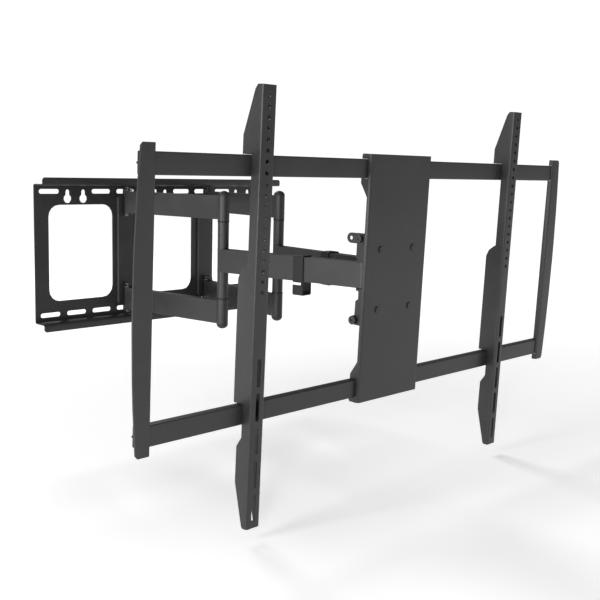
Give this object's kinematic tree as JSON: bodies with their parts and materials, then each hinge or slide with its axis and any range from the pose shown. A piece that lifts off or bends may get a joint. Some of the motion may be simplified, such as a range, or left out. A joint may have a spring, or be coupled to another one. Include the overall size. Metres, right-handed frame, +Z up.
{
  "type": "full motion television wall mount",
  "caption": "Full motion television wall mount: slotted wall plate, paired folding arms, tilting head and a railed frame with sliding screen brackets.",
  "frame": {"origin": "middle of the wall plate's back face", "axes": "+X along the wall to the right as seen from the room, +Y into the wall, +Z up"},
  "size_m": [1.11, 0.6837, 0.6763],
  "materials": {
    "black_steel": "satin black powder coat with a very fine texture",
    "black_plastic": "matte moulded",
    "dark_zinc": "black zinc plate",
    "bush_nylon": "plain moulded"
  },
  "bodies": {
    "wall_body": {"wall_plate": "black_steel", "pivot_channel_left": "black_steel", "pivot_channel_right": "black_steel", "wall_bolt_left_upper": "dark_zinc", "wall_bolt_left_lower": "dark_zinc", "wall_bolt_right_upper": "dark_zinc", "wall_bolt_right_lower": "dark_zinc", "wall_nut_left_upper": "dark_zinc", "wall_nut_left_lower": "dark_zinc", "wall_nut_right_upper": "dark_zinc", "wall_nut_right_lower": "dark_zinc"},
    "link_left": {"link_left_upper": "black_steel", "link_left_lower": "black_steel", "elbow_pin_left": "dark_zinc", "elbow_bush_left_upper": "bush_nylon", "elbow_bush_left_lower": "bush_nylon", "elbow_cap_left_upper": "black_plastic", "elbow_cap_left_lower": "black_plastic"},
    "arm_body_left": {"arm_left": "black_steel", "cable_clip_left": "black_plastic"},
    "link_right": {"link_right_upper": "black_steel", "link_right_lower": "black_steel", "elbow_pin_right": "dark_zinc", "elbow_bush_right_upper": "bush_nylon", "elbow_bush_right_lower": "bush_nylon", "elbow_cap_right_upper": "black_plastic", "elbow_cap_right_lower": "black_plastic"},
    "arm_body_right": {"arm_right": "black_steel", "cable_clip_right": "black_plastic"},
    "head": {"swivel_bracket": "black_steel", "head_bolt_left": "dark_zinc", "head_bolt_right": "dark_zinc", "head_nut_left": "dark_zinc", "head_nut_right": "dark_zinc", "tilt_nut_left": "dark_zinc", "tilt_nut_right": "dark_zinc"},
    "tv_frame": {"tilt_bracket": "black_steel", "centre_plate": "black_steel", "rail_upper": "black_steel", "rail_lower": "black_steel", "tilt_bolt_left": "dark_zinc", "tilt_bolt_right": "dark_zinc", "tilt_tab_left": "black_steel", "tilt_tab_right": "black_steel", "tilt_tab_bolt_left": "dark_zinc", "tilt_tab_bolt_right": "dark_zinc", "plate_bolt_1": "black_steel", "plate_bolt_2": "black_steel", "plate_bolt_3": "black_steel", "plate_bolt_4": "black_steel", "rail_plug_left_upper": "black_plastic", "rail_plug_left_lower": "black_plastic", "rail_plug_right_upper": "black_plastic", "rail_plug_right_lower": "black_plastic", "end_piece_left": "black_steel", "end_piece_right": "black_steel"},
    "bracket_left": {"tv_bracket_left": "black_steel"},
    "bracket_right": {"tv_bracket_right": "black_steel"}
  },
  "joints": [
    {"name": "fold", "type": "hinge", "parent": "wall_body", "child": "link_left", "pos_m": [-0.1112, -0.0183, 0], "axis": [0, 0, -1], "range_deg": [0, 65]},
    {"name": "elbow_left", "type": "hinge", "parent": "link_left", "child": "arm_body_left", "pos_m": [-0.07613, -0.28904, 0], "axis": [0, 0, 1], "range_deg": [0, 126.2]},
    {"name": "head_pivot", "type": "hinge", "parent": "arm_body_left", "child": "head", "pos_m": [-0.03362, -0.6173, 0], "axis": [0, 0, -1], "range_deg": [0, 61.2]},
    {"name": "wall_pivot_right", "type": "hinge", "parent": "wall_body", "child": "link_right", "pos_m": [0.1112, -0.0183, 0], "axis": [0, 0, 1], "range_deg": [0, 65.1]},
    {"name": "elbow_right", "type": "hinge", "parent": "link_right", "child": "arm_body_right", "pos_m": [0.07613, -0.28904, 0], "axis": [0, 0, -1], "range_deg": [0, 126.2]},
    {"name": "tilt", "type": "hinge", "parent": "head", "child": "tv_frame", "pos_m": [0, -0.6153, -0.07848], "axis": [1, 0, 0], "range_deg": [-4, 13.2]},
    {"name": "bracket_left_slide", "type": "slide", "parent": "tv_frame", "child": "bracket_left", "axis": [1, 0, 0], "range_m": [-0.16, 0.22]},
    {"name": "bracket_right_slide", "type": "slide", "parent": "tv_frame", "child": "bracket_right", "axis": [1, 0, 0], "range_m": [-0.22, 0.16]}
  ],
  "couplings": [
    {"joint": "elbow_left", "follows": "fold", "ratio": 1.94},
    {"joint": "head_pivot", "follows": "fold", "ratio": 0.94},
    {"joint": "wall_pivot_right", "follows": "fold", "ratio": 1},
    {"joint": "elbow_right", "follows": "fold", "ratio": 1.94}
  ]
}
